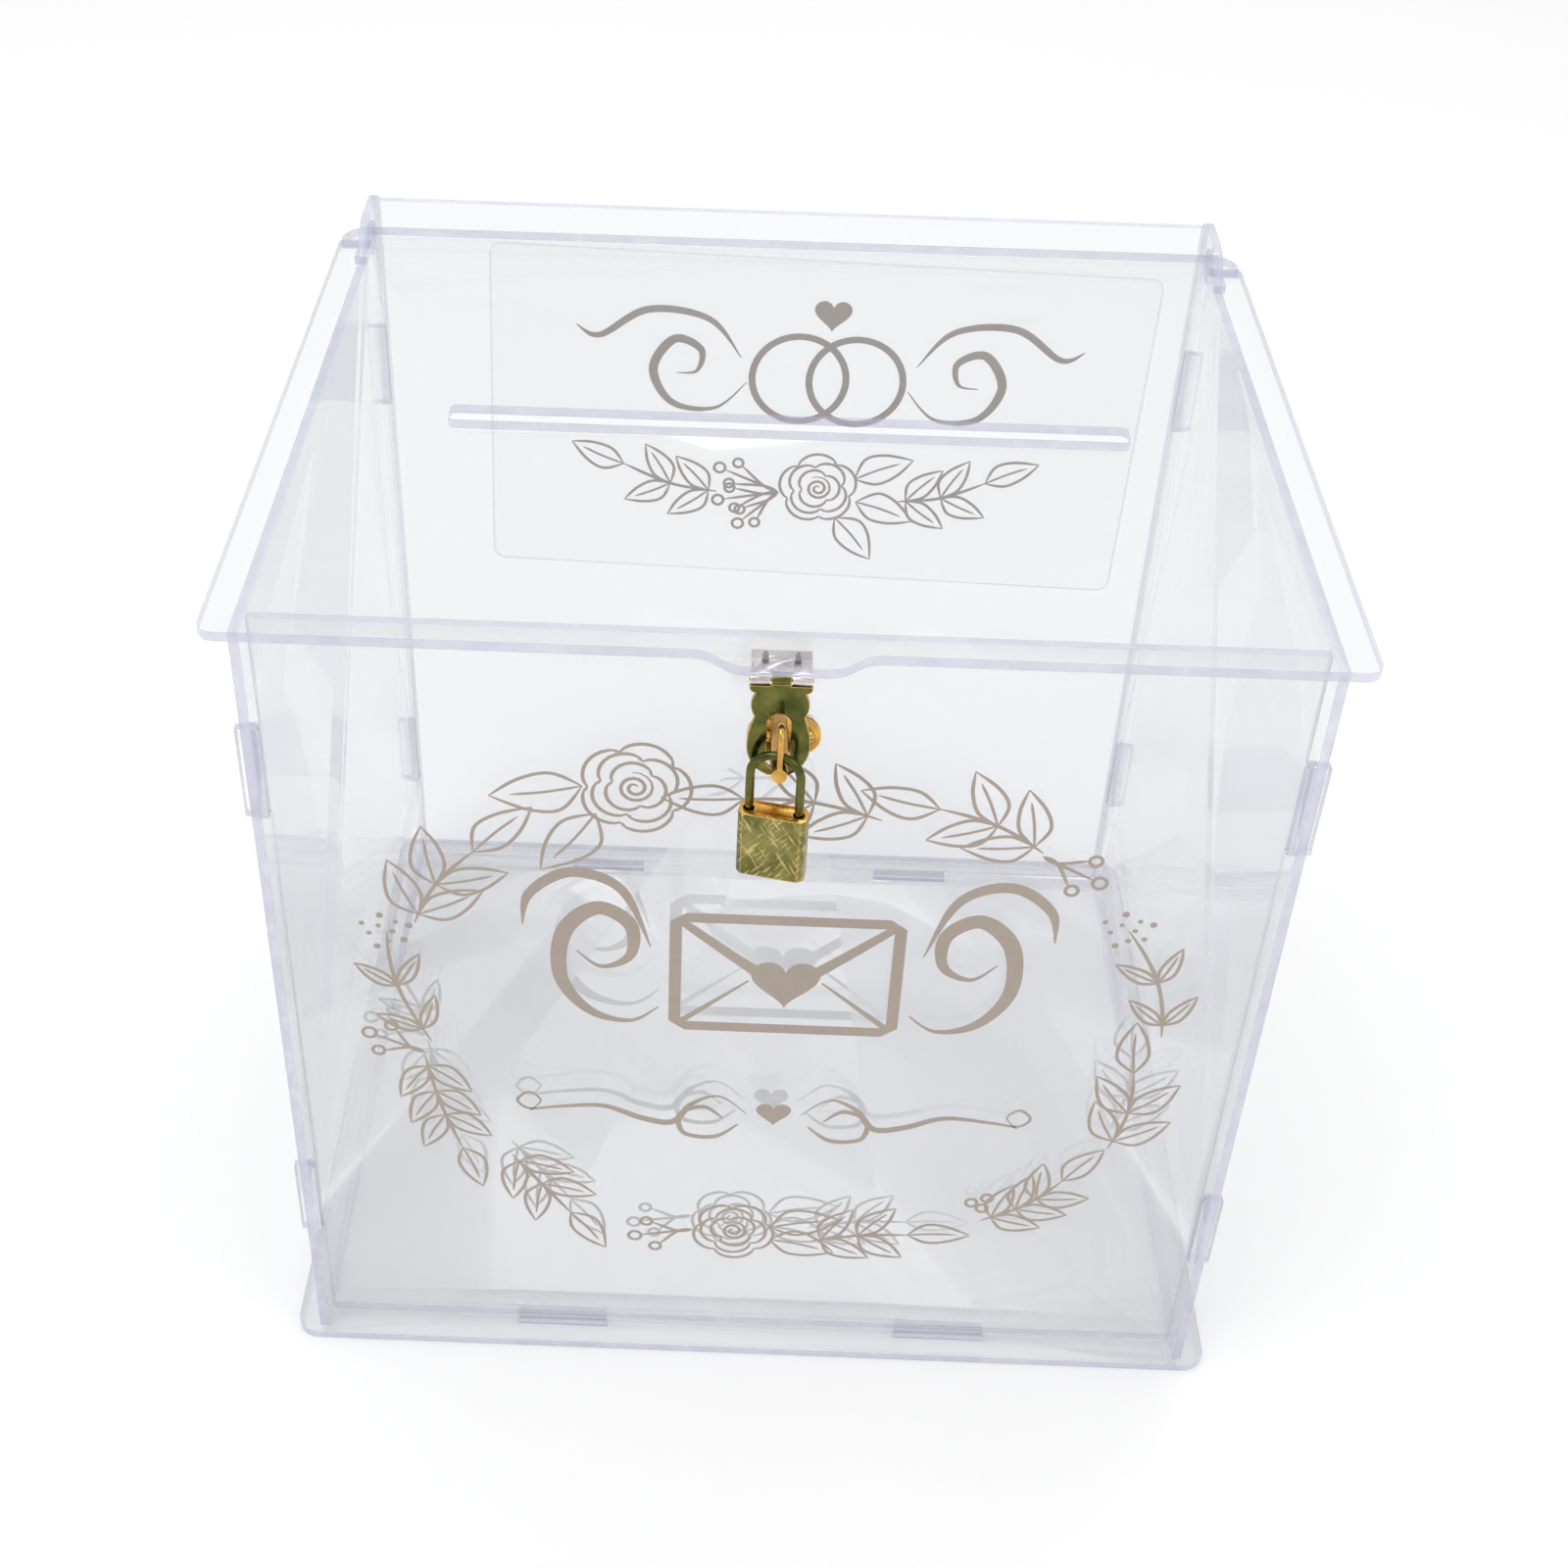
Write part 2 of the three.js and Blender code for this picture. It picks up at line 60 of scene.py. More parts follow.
FINE_PEN = 0.9
FLOOR_GAP = 0.2 * MM

PANELS = {
    "base_plate": "Z",
    "front_panel": "Y",
    "back_panel": "Y",
    "left_side_panel": "X",
    "right_side_panel": "X",
    "lid_panel": "Z",
}


# ---- material helpers ----------------------------------------------------------------------------
class Nodes:
    """Short calls for building one material's node tree."""

    def __init__(self, name):
        self.material = bpy.data.materials.new(name)
        self.material.use_nodes = True
        self.tree = self.material.node_tree
        self.tree.nodes.clear()
        self.output = self.tree.nodes.new("ShaderNodeOutputMaterial")

    def add(self, kind, settings=None, **inputs):
        node = self.tree.nodes.new("ShaderNode" + kind)
        for key, value in (settings or {}).items():
            setattr(node, key, value)
        for key, value in inputs.items():
            self.feed(node.inputs[key.replace("_", " ")], value)
        return node

    def feed(self, socket, value):
        if isinstance(value, bpy.types.NodeSocket):
            self.tree.links.new(value, socket)
        else:
            socket.default_value = value

    def math(self, operation, a, b=0.0, clamp=False):
        node = self.add("Math", {"operation": operation, "use_clamp": clamp})
        self.feed(node.inputs[0], a)
        self.feed(node.inputs[1], b)
        return node.outputs[0]

    def noise(self, scale, detail=3.0, stretch=None, roughness=0.5):
        vector = self.add("TexCoord").outputs["Object"]
        if stretch:
            mapping = self.add("Mapping", Vector=vector)
            mapping.inputs["Scale"].default_value = stretch
            vector = mapping.outputs[0]
        node = self.add("TexNoise", Vector=vector, Scale=scale, Detail=detail, Roughness=roughness)
        return node.outputs["Fac"]

    def span(self, value, low, high, out_low=0.0, out_high=1.0):
        node = self.add("MapRange", {"clamp": True})
        self.feed(node.inputs["Value"], value)
        ends = {"From Min": low, "From Max": high, "To Min": out_low, "To Max": out_high}
        for key, number in ends.items():
            self.feed(node.inputs[key], number)
        return node.outputs["Result"]

    def blend(self, factor, a, b):
        node = self.add("Mix", {"data_type": "RGBA", "blend_type": "MIX"})
        self.feed(node.inputs["Factor"], factor)
        self.feed(node.inputs[6], a)
        self.feed(node.inputs[7], b)
        return node.outputs[2]

    def bump(self, height, distance, strength=1.0):
        node = self.add("Bump", Height=height, Distance=distance, Strength=strength)
        return node.outputs["Normal"]

    def shader_mix(self, factor, a, b):
        node = self.add("MixShader")
        self.feed(node.inputs[0], factor)
        self.feed(node.inputs[1], a)
        self.feed(node.inputs[2], b)
        return node.outputs[0]

    def finish(self, shader):
        self.tree.links.new(shader, self.output.inputs["Surface"])
        return self.material


def rgba(red, green, blue, alpha=1.0):
    return (red, green, blue, alpha)


# ---- materials -----------------------------------------------------------------------------------
def acrylic(name, flat_axis, haze_low=0.015, haze_high=0.035, gloss_share=0.5):
    """Clear sheet whose broad faces look along flat_axis: they are nearly invisible with a faint cool
    haze, while the sawn edges scatter light and show lavender."""
    n = Nodes(name)
    normal = n.add("TexCoord").outputs["Normal"]
    parts = n.add("SeparateXYZ", Vector=normal)
    along = n.math("ABSOLUTE", parts.outputs[flat_axis])
    edge = n.span(along, 0.95, 0.6)
    cloud = n.noise(9, 1)
    saw = n.noise(140, 1)
    face_tint = n.blend(cloud, rgba(0.70, 0.72, 0.77), rgba(0.82, 0.83, 0.87))
    edge_tint = n.blend(saw, rgba(0.42, 0.42, 0.62), rgba(0.68, 0.68, 0.84))
    tint = n.blend(edge, face_tint, edge_tint)
    haze = n.span(cloud, 0.3, 0.7, haze_low, haze_high)
    density = n.math("ADD", haze, n.math("MULTIPLY", edge, 0.45))
    body = n.add("BsdfPrincipled", Base_Color=tint, Roughness=n.span(saw, 0.3, 0.7, 0.12, 0.3))
    clear = n.add("BsdfTransparent", Color=rgba(0.976, 0.978, 0.982))
    sheet = n.shader_mix(density, clear.outputs[0], body.outputs[0])
    gloss = n.add("BsdfGlossy", Color=rgba(1, 1, 1), Roughness=0.03)
    shine = n.add("Fresnel", IOR=1.4)
    shine_share = n.math("MULTIPLY", shine.outputs[0], gloss_share)
    return n.finish(n.shader_mix(shine_share, sheet, gloss.outputs[0]))


def film_material():
    """Clear film: a touch whiter than the sheet behind it, with bright cut edges."""
    n = Nodes("clear_film")
    parts = n.add("SeparateXYZ", Vector=n.add("TexCoord").outputs["Normal"])
    edge = n.span(n.math("ABSOLUTE", parts.outputs["Y"]), 0.95, 0.6)
    cloud = n.noise(14, 3)
    face_tint = n.blend(cloud, rgba(0.80, 0.82, 0.84), rgba(0.93, 0.94, 0.95))
    tint = n.blend(edge, face_tint, rgba(1, 1, 1))
    body = n.add("BsdfPrincipled", Base_Color=tint, Roughness=n.span(cloud, 0.3, 0.7, 0.25, 0.4))
    clear = n.add("BsdfTransparent", Color=rgba(1, 1, 1))
    density = n.math("ADD", n.span(cloud, 0.3, 0.7, 0.04, 0.07), n.math("MULTIPLY", edge, 0.9))
    return n.finish(n.shader_mix(density, clear.outputs[0], body.outputs[0]))


def film_rim_highlight_material():
    """A painted highlight: a white line for the light that the film's trimmed rim catches."""
    n = Nodes("film_rim_highlight")
    speckle = n.noise(300, 2)
    tint = n.blend(speckle, rgba(0.97, 0.97, 0.98), rgba(1, 1, 1))
    body = n.add("BsdfPrincipled", Base_Color=tint, Roughness=n.span(speckle, 0.3, 0.7, 0.2, 0.4))
    return n.finish(body.outputs[0])


def ink_material(name, dark, light):
    """Screen-printed taupe ink, slightly uneven in cover."""
    n = Nodes(name)
    cover = n.noise(260, 4, roughness=0.65)
    patch = n.noise(30, 2)
    tint = n.blend(cover, dark, light)
    tint = n.blend(n.span(patch, 0.35, 0.7, 0.0, 0.4), tint, light)
    body = n.add("BsdfPrincipled", Base_Color=tint, Roughness=n.span(cover, 0.3, 0.7, 0.5, 0.7),
                 Normal=n.bump(cover, 0.00001, 0.4))
    return n.finish(body.outputs[0])


def edge_wear_and_highlight(n, radius):
    """How close a point is to an edge, where the metal is painted bright, partly as rubbed plating and partly
    as a painted highlight: 0 on flats, 1 on the edge.
    """
    rounded_normal = n.add("Bevel", {"samples": 4}, Radius=radius)
    rim = n.add("VectorMath", {"operation": "DOT_PRODUCT"})
    n.feed(rim.inputs[0], rounded_normal.outputs[0])
    n.feed(rim.inputs[1], n.add("NewGeometry").outputs["Normal"])
    return n.span(rim.outputs["Value"], 0.995, 0.93, 0.0, 0.9)


def brass(name, dark, light, roughness, edge_rubbed_and_highlight):
    """Plated brass: lighter and darker in patches, finely pitted, and painted bright along its edges, partly
    as rubbed plating and partly as a painted highlight.
    """
    n = Nodes(name)
    patch = n.noise(180, 4, roughness=0.6)
    grain = n.noise(900, 3)
    pits = n.noise(1500, 2)
    tint = n.blend(n.span(patch, 0.32, 0.68), dark, light)
    # Edges painted bright: partly rubbed plating, partly a painted highlight.
    tint = n.blend(edge_wear_and_highlight(n, 0.0004), tint, edge_rubbed_and_highlight)
    height = n.math("ADD", grain, n.math("MULTIPLY", pits, 0.4))
    body = n.add("BsdfPrincipled", Base_Color=tint, Metallic=1.0,
                 Roughness=n.span(grain, 0.3, 0.7, roughness - 0.07, roughness + 0.09),
                 Normal=n.bump(height, 0.00003, 0.5))
    return n.finish(body.outputs[0])


def scratches(n, angle, scale):
    """Fine parallel scratches at an angle in the plane of the case's front."""
    mapping = n.add("Mapping", {"vector_type": "TEXTURE"}, Vector=n.add("TexCoord").outputs["Object"])
    mapping.inputs["Rotation"].default_value = (0, angle, 0)
    mapping.inputs["Scale"].default_value = (1, 1, 20)
    node = n.add("TexNoise", Vector=mapping.outputs[0], Scale=scale, Detail=2.0)
    return n.span(node.outputs["Fac"], 0.56, 0.68)


def brushed_case(edge_rubbed_and_highlight):
    """The padlock's case: dark olive on its upright faces with crossed scratches, and gold on its upward
    faces as painted light from above.
    """
    n = Nodes("brushed_brass")
    crossed = n.math("MAXIMUM", scratches(n, 0.7, 1500), scratches(n, -0.6, 1200))
    patch = n.noise(220, 3)
    field = n.blend(n.span(patch, 0.35, 0.65), rgba(0.13, 0.125, 0.035), rgba(0.26, 0.235, 0.08))
    field = n.blend(n.math("MULTIPLY", crossed, 0.65), field, rgba(0.78, 0.62, 0.26))
    up = n.add("SeparateXYZ", Vector=n.add("TexCoord").outputs["Normal"]).outputs["Z"]
    # Painted light: faces turned up (object normal Z) are painted copper gold as if lit from above, while
    # upright faces keep the dark olive.
    tint = n.blend(n.span(up, 0.5, 0.9), field, rgba(0.80, 0.46, 0.10))
    # Edges painted bright: partly rubbed plating, partly a painted highlight.
    tint = n.blend(edge_wear_and_highlight(n, 0.0005), tint, edge_rubbed_and_highlight)
    body = n.add("BsdfPrincipled", Base_Color=tint, Metallic=1.0,
                 Roughness=n.span(crossed, 0.0, 1.0, 0.22, 0.36), Normal=n.bump(crossed, 0.00002, 0.4))
    return n.finish(body.outputs[0])


def zinc():
    n = Nodes("bright_zinc")
    grain = n.noise(700, 3)
    tint = n.blend(grain, rgba(0.55, 0.56, 0.58), rgba(0.78, 0.79, 0.80))
    body = n.add("BsdfPrincipled", Base_Color=tint, Metallic=1.0,
                 Roughness=n.span(grain, 0.3, 0.7, 0.2, 0.4))
    return n.finish(body.outputs[0])


def floor_material():
    n = Nodes("studio_floor")
    mottle = n.noise(3, 2)
    tint = n.blend(mottle, rgba(0.955, 0.955, 0.96), rgba(0.97, 0.97, 0.97))
    body = n.add("BsdfDiffuse", Color=tint)
    return n.finish(body.outputs[0])


# ---- dressed copies of CAD nodes -----------------------------------------------------------------
def assign(obj, material):
    obj.data.materials.clear()
    obj.data.materials.append(material)


def dressed(node, body, material, bevel, smooth=40):
    """A finished copy of a CAD node: flat areas made whole, its sharp edges eased, curves shaded smooth."""
    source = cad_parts[node]
    mesh = bmesh.new()
    mesh.from_mesh(source.data)
    bmesh.ops.remove_doubles(mesh, verts=mesh.verts, dist=2e-6)
    bmesh.ops.dissolve_limit(mesh, angle_limit=math.radians(0.6), verts=mesh.verts, edges=mesh.edges)
    data = bpy.data.meshes.new(node + "_finished")
    mesh.to_mesh(data)
    mesh.free()
    obj = bpy.data.objects.new(node + "_finished", data)
    bpy.context.scene.collection.objects.link(obj)
    ease = obj.modifiers.new("ease", "BEVEL")
    ease.width = bevel
    ease.segments = 2
    ease.limit_method = "ANGLE"
    ease.angle_limit = math.radians(smooth)
    ease.use_clamp_overlap = True
    apply_modifiers(obj)
    shade(obj, smooth)
    assign(obj, material)
    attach(obj, body)
    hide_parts(node)
    return obj


def apply_modifiers(obj):
    graph = bpy.context.evaluated_depsgraph_get()
    data = bpy.data.meshes.new_from_object(obj.evaluated_get(graph))
    obj.modifiers.clear()
    obj.data = data


def shade(obj, angle):
    obj.data.shade_smooth()
    obj.data.set_sharp_from_angle(angle=math.radians(angle))


# ---- drawing in ink ------------------------------------------------------------------------------
class Sheet:
    """Collects strokes and patches drawn in a plane's own right and up directions, as thin solids."""

    def __init__(self, origin, right, up, toward):
        self.origin, self.right, self.up, self.toward = origin, right, up, toward
        self.mesh = bmesh.new()
        self.layer = 0

    def next_lift(self):
        """Each stroke lies a hair above the last, so that crossing strokes never share a face."""
        self.layer += 1
        return INK_LIFT + (self.layer % INK_LAYERS) * INK_STEP

    def place(self, point, height):
        a, b = point
        return self.origin + self.right * (a * MM) + self.up * (b * MM) + self.toward * height

    def stroke(self, points, width, taper_start=True, taper_end=True, closed=False):
        """A ribbon along points; width is in mm, and each open end narrows unless it is told not to."""
        count = len(points)
        lift = self.next_lift()
        rows = []
        for i, (a, b) in enumerate(points):
            before = points[i - 1] if (i > 0 or closed) else points[0]
            after = points[(i + 1) % count] if (i < count - 1 or closed) else points[-1]
            dx, dy = after[0] - before[0], after[1] - before[1]
            length = math.hypot(dx, dy) or 1.0
            share = i / (count - 1)
            w = width(share) if callable(width) else width
            if not closed:
                if taper_start:
                    w *= 0.3 + 0.7 * min(1.0, share * 5)
                if taper_end:
                    w *= 0.3 + 0.7 * min(1.0, (1 - share) * 5)
            ox, oy = -dy / length * w / 2, dx / length * w / 2
            left, right = (a + ox, b + oy), (a - ox, b - oy)
            corners = [(left, 0), (right, 0), (right, 1), (left, 1)]
            rows.append([self.mesh.verts.new(self.place(p, lift + t * INK_THICKNESS)) for p, t in corners])
        pairs = list(zip(rows, rows[1:])) + ([(rows[-1], rows[0])] if closed else [])
        for low, high in pairs:
            for k in range(4):
                m = (k + 1) % 4
                self.mesh.faces.new((low[k], low[m], high[m], high[k]))
        if not closed:
            self.mesh.faces.new(reversed(rows[0]))
            self.mesh.faces.new(rows[-1])

    def patch(self, points):
        """A filled outline."""
        lift = self.next_lift()
        low = [self.mesh.verts.new(self.place(p, lift)) for p in points]
        high = [self.mesh.verts.new(self.place(p, lift + INK_THICKNESS)) for p in points]
        self.mesh.faces.new(reversed(low))
        self.mesh.faces.new(high)
        for i in range(len(points)):
            j = (i + 1) % len(points)
            self.mesh.faces.new((low[i], low[j], high[j], high[i]))

    def finish(self, name, body, material, slot):
        bmesh.ops.recalc_face_normals(self.mesh, faces=self.mesh.faces)
        data = bpy.data.meshes.new(name)
        self.mesh.to_mesh(data)
        self.mesh.free()
        obj = bpy.data.objects.new(name, data)
        bpy.context.scene.collection.objects.link(obj)
        assign(obj, material)
        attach(obj, body)
        return obj


def curve(points, per_part=10):
    """A smooth line through given points."""
    result = []
    last = len(points) - 1
    for i in range(last):
        p0, p1 = points[max(i - 1, 0)], points[i]
        p2, p3 = points[i + 1], points[min(i + 2, last)]
        for k in range(per_part):
            t = k / per_part
            result.append(tuple(
                0.5 * (2 * p1[c] + (p2[c] - p0[c]) * t + (2 * p0[c] - 5 * p1[c] + 4 * p2[c] - p3[c]) * t * t
                       + (3 * p1[c] - p0[c] - 3 * p2[c] + p3[c]) * t ** 3)
                for c in (0, 1)))
    result.append(tuple(points[-1]))
    return result


def turned(points, at, angle, scale=1.0, mirror=False):
    """Points drawn along +a, moved to a place and direction."""
    c, s = math.cos(angle), math.sin(angle)
    flip = -1 if mirror else 1
    return [(at[0] + scale * (c * a - s * b * flip), at[1] + scale * (s * a + c * b * flip))
            for a, b in points]


def disc(sheet, at, radius, sides=14):
    sheet.patch([(at[0] + radius * math.cos(2 * math.pi * k / sides),
                  at[1] + radius * math.sin(2 * math.pi * k / sides)) for k in range(sides)])


def ring(sheet, at, radius, width, sides=18):
    sheet.stroke([(at[0] + radius * math.cos(2 * math.pi * k / sides),
                   at[1] + radius * math.sin(2 * math.pi * k / sides)) for k in range(sides)],
                 width, closed=True)


def leaf(sheet, at, angle, length, pen, mirror=False, fullness=0.24):
    """A pointed leaf in outline with a midrib that stops short of the tip."""
    w = fullness * length
    upper = curve([(0, 0), (0.28 * length, w), (0.62 * length, 0.85 * w), (length, 0)], 6)
    lower = curve([(0, 0), (0.3 * length, -0.75 * w), (0.66 * length, -0.62 * w), (length, 0)], 6)
    rib = curve([(0, 0), (0.4 * length, 0.1 * w), (0.78 * length, 0.05 * w)], 5)
    for line, width in ((upper, pen), (lower, pen), (rib, pen * 0.8)):
        sheet.stroke(turned(line, at, angle, mirror=mirror), width)


def spray(sheet, path, pairs, length, pen, tip=True, fullness=0.24):
    """A stem along path with opposite pairs of leaves, and a larger leaf at its tip."""
    line = curve(path, 12)
    sheet.stroke(line, pen * 1.1)
    last = len(line) - 1
    for k in range(pairs):
        i = round(last * (0.12 + 0.75 * k / pairs))
        (a0, b0), (a1, b1) = line[i], line[i + 1]
        heading = math.atan2(b1 - b0, a1 - a0)
        for side in (-1, 1):
            leaf(sheet, (a0, b0), heading + side * math.radians(42), length, pen, side < 0, fullness)
    if tip:
        (a0, b0), (a1, b1) = line[-2], line[-1]
        leaf(sheet, (a1, b1), math.atan2(b1 - b0, a1 - a0), length * 1.12, pen, False, fullness)


def rose(sheet, at, radius, pen, turn=0.0):
    """A rose seen from above: an inner whorl and three rings of overlapping petals."""
    whorl = []
    for k in range(34):
        angle = turn + k * 0.42
        reach = radius * (0.05 + 0.3 * k / 33)
        whorl.append((at[0] + reach * math.cos(angle), at[1] + reach * math.sin(angle)))
    sheet.stroke(whorl, pen)
    for petals, inner, outer, shift in ((3, 0.40, 0.56, 0.3), (4, 0.60, 0.80, 0.9), (5, 0.82, 1.0, 0.2)):
        for k in range(petals):
            start = turn + shift + 2 * math.pi * k / petals
            sweep = 2 * math.pi / petals * 1.12
            line = []
            for i in range(13):
                share = i / 12
                angle = start + sweep * share
                swell = math.sin(math.pi * min(1.0, share * 1.08)) ** 0.7 if share < 0.93 else 0.25
                reach = radius * (inner + (outer - inner) * swell)
                line.append((at[0] + reach * math.cos(angle), at[1] + reach * math.sin(angle)))
            sheet.stroke(line, pen)


def berries(sheet, at, angle, length, pen, spread=24):
    """Three berries on forked stems."""
    for k, (side, reach) in enumerate(((-1, 0.8), (0, 1.0), (1, 0.78))):
        heading = angle + math.radians(spread) * side
        end = (at[0] + length * reach * math.cos(heading), at[1] + length * reach * math.sin(heading))
        bend = (at[0] + 0.5 * length * math.cos(angle), at[1] + 0.5 * length * math.sin(angle))
        radius = 1.5 + 0.2 * (k % 2)
        stop = (end[0] - radius * math.cos(heading), end[1] - radius * math.sin(heading))
        sheet.stroke(curve([at, ((at[0] + bend[0]) / 2, (at[1] + bend[1]) / 2), stop], 5), pen)
        ring(sheet, end, radius, pen)


def seeds(sheet, at, radius, count, rng):
    """A loose cluster of dots."""
    for k in range(count):
        angle = k * 2.4
        reach = radius * math.sqrt((k + 0.5) / count)
        spot = (at[0] + reach * math.cos(angle), at[1] + reach * math.sin(angle))
        disc(sheet, spot, 0.6 + 0.35 * rng.random())


def heart_outline(at, size, steps=40):
    points = []
    for k in range(steps):
        t = 2 * math.pi * k / steps
        a = 16 * math.sin(t) ** 3
        b = 13 * math.cos(t) - 5 * math.cos(2 * t) - 2 * math.cos(3 * t) - math.cos(4 * t)
        points.append((at[0] + size * a / 32, at[1] + size * (b + 2) / 32))
    return points


# ---- the front print -----------------------------------------------------------------------------
WREATH_MIDDLE = (1.6, 117.6)


def bowed(start, end, bow, points=5):
    """A path from start to end that bows away from the wreath's middle."""
    (sa, sb), (ea, eb) = start, end
    da, db = (sa + ea) / 2 - WREATH_MIDDLE[0], (sb + eb) / 2 - WREATH_MIDDLE[1]
    reach = math.hypot(da, db)
    path = []
    for k in range(points):
        t = k / (points - 1)
        lift = bow * math.sin(math.pi * t) / reach
        path.append((sa + (ea - sa) * t + da * lift, sb + (eb - sb) * t + db * lift))
    return path


def wreath(sheet, pen):
    """Leaf sprays, two roses, berries and seed dots, clockwise round the wreath from the top."""
    rng = random.Random(4)
    sprays = [
        ((24, 188), (-8, 193), 2, 2, 17), ((62, 180), (37, 192), 2, 2, 17), ((90, 81), (93, 109), 2, 2, 16),
        ((60, 51), (80, 68), 2, 3, 14), ((15, 40), (41, 44), -1, 2, 15), ((-65, 70), (-50, 48), 0, 2, 15),
        ((-86, 106), (-78, 72), 1, 3, 14), ((-86, 151), (-71, 174), 2, 2, 18),
    ]
    for root, crown, bow, pairs, length in sprays:
        spray(sheet, bowed(root, crown, bow), pairs, length, pen)
    for root, crown in (((98, 122), (85, 157)), ((-84, 111), (-93, 148))):
        spray(sheet, bowed(root, crown, 3), 2, 12.5, pen, False, 0.17)
        seeds(sheet, crown, 6.5, 10, rng)
    for at, radius, turn in (((-33, 195), 13, 0.4), ((-6, 43), 11, 1.4)):
        rose(sheet, at, radius, pen, turn)
    for at, heading, length in (
        ((-45, 195), 190, 22), ((-42, 187), 233, 22), ((4, 45), 12, 19), ((4, 40), -14, 18),
    ):
        leaf(sheet, at, math.radians(heading), length, pen, fullness=0.28)
    for at, heading, length in (((62, 179), -28, 16), ((-17, 43), 192, 16), ((-86, 107), 155, 15)):
        berries(sheet, at, math.radians(heading), length, pen)
    for spot in ((57, 58), (61, 60), (60, 56)):
        ring(sheet, spot, 1.5, pen)


def envelope_motif(sheet, centre, pen):
    """An envelope closed with a heart, between pen flourishes."""
    ca, cb = centre
    half_w, half_h = 27, 18
    rim = [(ca + a * half_w, cb + b * half_h) for a, b in ((-1, -1), (1, -1), (1, 1), (-1, 1))]
    outline = []
    for i, (a, b) in enumerate(rim):
        na, nb = rim[(i + 1) % 4]
        outline.extend((a + (na - a) * t, b + (nb - b) * t) for t in (0.05, 0.3, 0.6, 0.95))
    sheet.stroke(outline, pen, closed=True)
    flap = [(ca - half_w + 1, cb + half_h - 1), (ca - 7, cb + 1), (ca, cb - 3), (ca + 7, cb + 1),
            (ca + half_w - 1, cb + half_h - 1)]
    sheet.stroke(curve(flap, 8), lambda s: pen * (0.7 + 0.5 * math.sin(math.pi * s)), False, False)
    for side in (-1, 1):
        sheet.stroke([(ca + side * (half_w - 1), cb - half_h + 1), (ca + side * 9, cb - 2)], pen * 0.6, False)
    sheet.patch(heart_outline((ca, cb - 3), 17))
    for side in (-1, 1):
        swash = [(31, -12), (38, -17), (48, -14), (55, -3), (54, 12), (46, 20), (38, 15),
                 (38, 5), (45, 1), (51, 6)]
        sheet.stroke(curve([(ca + side * a, cb + b) for a, b in swash], 8),
                     lambda s: pen * (0.45 + 1.0 * math.sin(math.pi * s) ** 2))
        tail = [(33, 8), (40, 26), (52, 31), (62, 24), (64, 14)]
        sheet.stroke(curve([(ca + side * a, cb + b) for a, b in tail], 8),
                     lambda s: pen * (0.35 + 0.7 * math.sin(math.pi * s)))


def scroll_motif(sheet, centre, pen):
    """A long flourish: a small heart between waves that end in curls."""
    ca, cb = centre
    sheet.patch(heart_outline((ca, cb), 9))
    for side in (-1, 1):
        wave = [(7, 0), (14, 6), (21, 3), (26, -4), (34, -3), (44, 1), (56, 0), (63, -1),
                (66, 2), (63, 5), (60, 2), (63, -2)]
        sheet.stroke(curve([(ca + side * a, cb + b) for a, b in wave], 8),
                     lambda s: pen * (0.6 + 0.8 * math.sin(math.pi * min(1, s * 1.6)) ** 2))
        loop = [(9, -4), (15, -9), (23, -8), (24, -1), (18, 2), (13, -2)]
        sheet.stroke(curve([(ca + side * a, cb + b) for a, b in loop], 8), pen)


def front_print(ink):
    sheet = Sheet(Vector((0, FRONT_FACE, 0)), Vector((1, 0, 0)), Vector((0, 0, 1)), Vector((0, -1, 0)))
    wreath(sheet, FINE_PEN)
    envelope_motif(sheet, (4, 138), 3.0)
    scroll_motif(sheet, (3, 89), 1.4)
    return sheet.finish("front_print", "box", ink, "clear_film")


# ---- the film's print ----------------------------------------------------------------------------
def rings_motif(sheet, centre, pen):
    """Two linked rings with a heart above, between flourishes."""
    ca, cb = centre
    for side in (-1, 1):
        ring(sheet, (ca + side * 8.5, cb - 2), 14, pen, 44)
    sheet.patch(heart_outline((ca, cb + 19), 11))
    for side in (-1, 1):
        swash = [(24, -4), (33, -13), (46, -12), (52, -1), (46, 9), (38, 6), (39, -1), (45, -2)]
        sheet.stroke(curve([(ca + side * a, cb + b) for a, b in swash], 8),
                     lambda s: pen * (0.45 + 0.9 * math.sin(math.pi * s) ** 2))
        tail = [(26, 4), (36, 16), (54, 18), (68, 9), (75, 12)]
        sheet.stroke(curve([(ca + side * a, cb + b) for a, b in tail], 8),
                     lambda s: pen * (0.4 + 0.7 * math.sin(math.pi * s)))


def film_spray(sheet, centre, pen):
    """A rose with leaf sprays to both sides and berries on its left."""
    ca, cb = centre
    rose(sheet, (ca, cb), 12, pen, 0.8)
    for side, root, crown in ((-1, 31, 60), (1, 25, 51)):
        middle = (root + crown) / 2
        path = [(ca + side * a, cb + b) for a, b in ((root, -3), (middle, -1), (crown, 5))]
        spray(sheet, path, 2, 15.5, pen)
    for heading, length in ((158, 20), (192, 19), (225, 17)):
        berries(sheet, (ca - 12, cb - 2), math.radians(heading), length, pen, 14)
    for a, b, heading in ((11, 4, 24), (12, -4, -18), (6, -10, -50)):
        leaf(sheet, (ca + a, cb + b), math.radians(heading), 19, pen, fullness=0.28)


def film_sheet():
    """A drawing plane on the film's face, level with the film's own tilt."""
    middle = (FILM_LOW + FILM_HIGH) / 2
    right = Vector((math.cos(FILM_TILT), 0, math.sin(FILM_TILT)))
    up = Vector((-math.sin(FILM_TILT), 0, math.cos(FILM_TILT)))
    return Sheet(Vector((middle.x, FILM_LOW.y, middle.z)), right, up, Vector((0, -1, 0)))


